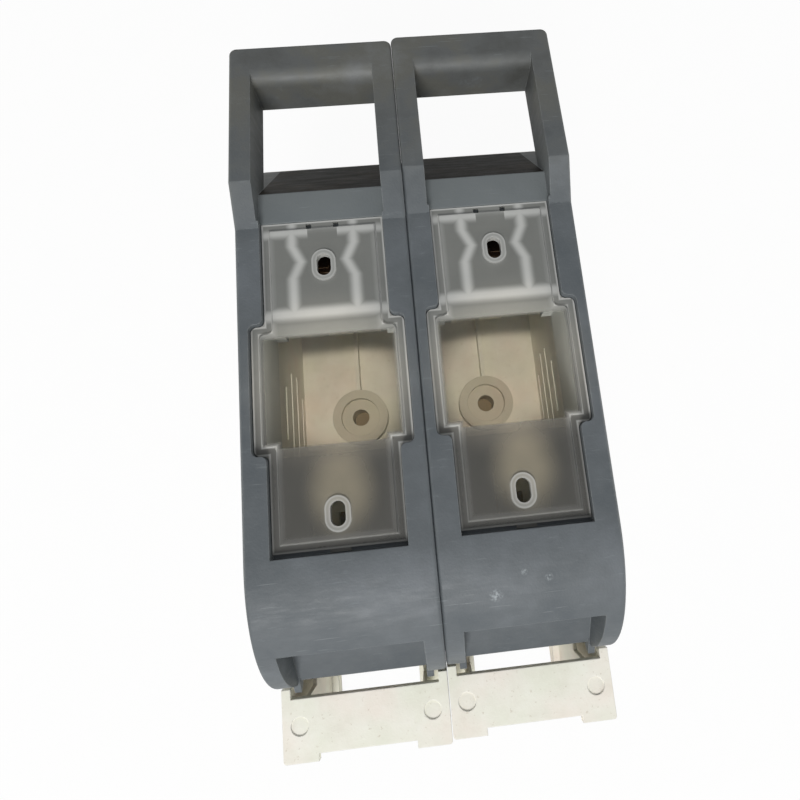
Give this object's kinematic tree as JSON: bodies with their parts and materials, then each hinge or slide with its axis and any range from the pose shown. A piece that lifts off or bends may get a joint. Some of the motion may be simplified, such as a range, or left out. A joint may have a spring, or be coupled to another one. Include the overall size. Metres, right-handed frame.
{
  "type": "knife blade fuse base",
  "caption": "Pair of single pole knife blade fuse bases with hinged handle covers, frosted inspection windows, test slots and open cable bays.",
  "frame": {"origin": "on the mounting face, under the middle of the pair's bounding box", "axes": "+X across the pair, +Y along the units towards the handles, +Z out of the front"},
  "size_m": [0.1618, 0.3462, 0.1505],
  "materials": {
    "cream_moulding": "matte",
    "grey_moulding": "matte",
    "frosted_window": "satin",
    "silvered_copper": "satin",
    "spring_steel": "satin",
    "zinc_steel": "satin",
    "splitter_steel": "satin",
    "chute_fibre": "matte"
  },
  "bodies": {
    "bases": {"left_base_housing": "cream_moulding", "left_upper_terminal_bar": "silvered_copper", "left_lower_terminal_bar": "silvered_copper", "left_upper_jaw": "silvered_copper", "left_lower_jaw": "silvered_copper", "left_upper_jaw_clips": "spring_steel", "left_lower_jaw_clips": "spring_steel", "left_jaw_screws": "zinc_steel", "left_terminal_bolts": "zinc_steel", "left_terminal_washers": "zinc_steel", "left_terminal_lock_washers": "zinc_steel", "left_terminal_nuts": "zinc_steel", "left_upper_splitter_plates": "splitter_steel", "left_lower_splitter_plates": "splitter_steel", "left_upper_chute_sides": "chute_fibre", "left_lower_chute_sides": "chute_fibre", "left_hinge_pins": "zinc_steel", "right_base_housing": "cream_moulding", "right_upper_terminal_bar": "silvered_copper", "right_lower_terminal_bar": "silvered_copper", "right_upper_jaw": "silvered_copper", "right_lower_jaw": "silvered_copper", "right_upper_jaw_clips": "spring_steel", "right_lower_jaw_clips": "spring_steel", "right_jaw_screws": "zinc_steel", "right_terminal_bolts": "zinc_steel", "right_terminal_washers": "zinc_steel", "right_terminal_lock_washers": "zinc_steel", "right_terminal_nuts": "zinc_steel", "right_upper_splitter_plates": "splitter_steel", "right_lower_splitter_plates": "splitter_steel", "right_upper_chute_sides": "chute_fibre", "right_lower_chute_sides": "chute_fibre", "right_hinge_pins": "zinc_steel"},
    "left_cover": {"left_cover_shell": "grey_moulding", "left_window": "frosted_window", "left_upper_fuse_grip": "spring_steel", "left_lower_fuse_grip": "spring_steel", "left_grip_screws": "zinc_steel"},
    "right_cover": {"right_cover_shell": "grey_moulding", "right_window": "frosted_window", "right_upper_fuse_grip": "spring_steel", "right_lower_fuse_grip": "spring_steel", "right_grip_screws": "zinc_steel"}
  },
  "joints": [
    {"name": "left_cover_hinge", "type": "hinge", "parent": "bases", "child": "left_cover", "pos_m": [-0.0405, -0.12655, 0.092], "axis": [1, 0, 0], "range_deg": [0, 95]},
    {"name": "right_cover_hinge", "type": "hinge", "parent": "bases", "child": "right_cover", "pos_m": [0.0405, -0.12495, 0.092], "axis": [1, 0, 0], "range_deg": [0, 95]}
  ]
}
